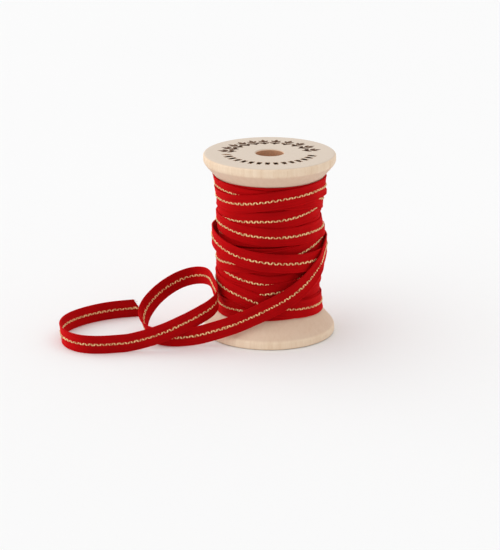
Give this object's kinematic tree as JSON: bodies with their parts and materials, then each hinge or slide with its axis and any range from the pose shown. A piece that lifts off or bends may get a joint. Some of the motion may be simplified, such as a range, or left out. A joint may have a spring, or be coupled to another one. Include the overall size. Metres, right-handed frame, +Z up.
{
  "type": "ribbon spool",
  "caption": "Turned wooden spool wound with narrow woven ribbon that has a metallic yarn stitched along its middle, its free end lying in loops.",
  "frame": {"origin": "middle of the lower end face, on the spool's axis, at the surface it stands on", "axes": "+Z up along the spool's axis, -Y the front, where the free end crosses the winding, and the loops lie towards -X"},
  "size_m": [0.0919, 0.048, 0.0617],
  "materials": {
    "wood": "plain turned and sanded pale hardwood, unvarnished, fine straight grain",
    "ribbon": "closely woven matt cotton ribbon",
    "gold_yarn": "pale gold metallic yarn, stitched in a zigzag",
    "tape": "clear adhesive tape"
  },
  "bodies": {
    "root": {"spool": "wood", "start_tape": "tape", "ribbon_layer_1": "ribbon", "ribbon_layer_2": "ribbon", "ribbon_layer_3": "ribbon", "ribbon_layer_4": "ribbon", "ribbon_layer_5": "ribbon", "outer_turn_1": "ribbon", "outer_turn_1_gold_yarn": "gold_yarn", "outer_turn_2": "ribbon", "outer_turn_2_gold_yarn": "gold_yarn", "outer_turn_3": "ribbon", "outer_turn_3_gold_yarn": "gold_yarn", "outer_turn_4": "ribbon", "outer_turn_4_gold_yarn": "gold_yarn", "outer_turn_5": "ribbon", "outer_turn_5_gold_yarn": "gold_yarn", "outer_turn_6": "ribbon", "outer_turn_6_gold_yarn": "gold_yarn", "outer_turn_7": "ribbon", "outer_turn_7_gold_yarn": "gold_yarn", "outer_turn_8": "ribbon", "outer_turn_8_gold_yarn": "gold_yarn", "outer_turn_9": "ribbon", "outer_turn_9_gold_yarn": "gold_yarn"},
    "free_ribbon": {"last_turn": "ribbon", "last_turn_gold_yarn": "gold_yarn", "free_end": "ribbon", "free_end_gold_yarn": "gold_yarn"}
  },
  "joints": [
    {"name": "unwind", "type": "hinge", "parent": "root", "child": "free_ribbon", "pos_m": [0, 0, 0], "axis": [0, 0, 1], "continuous": true}
  ]
}
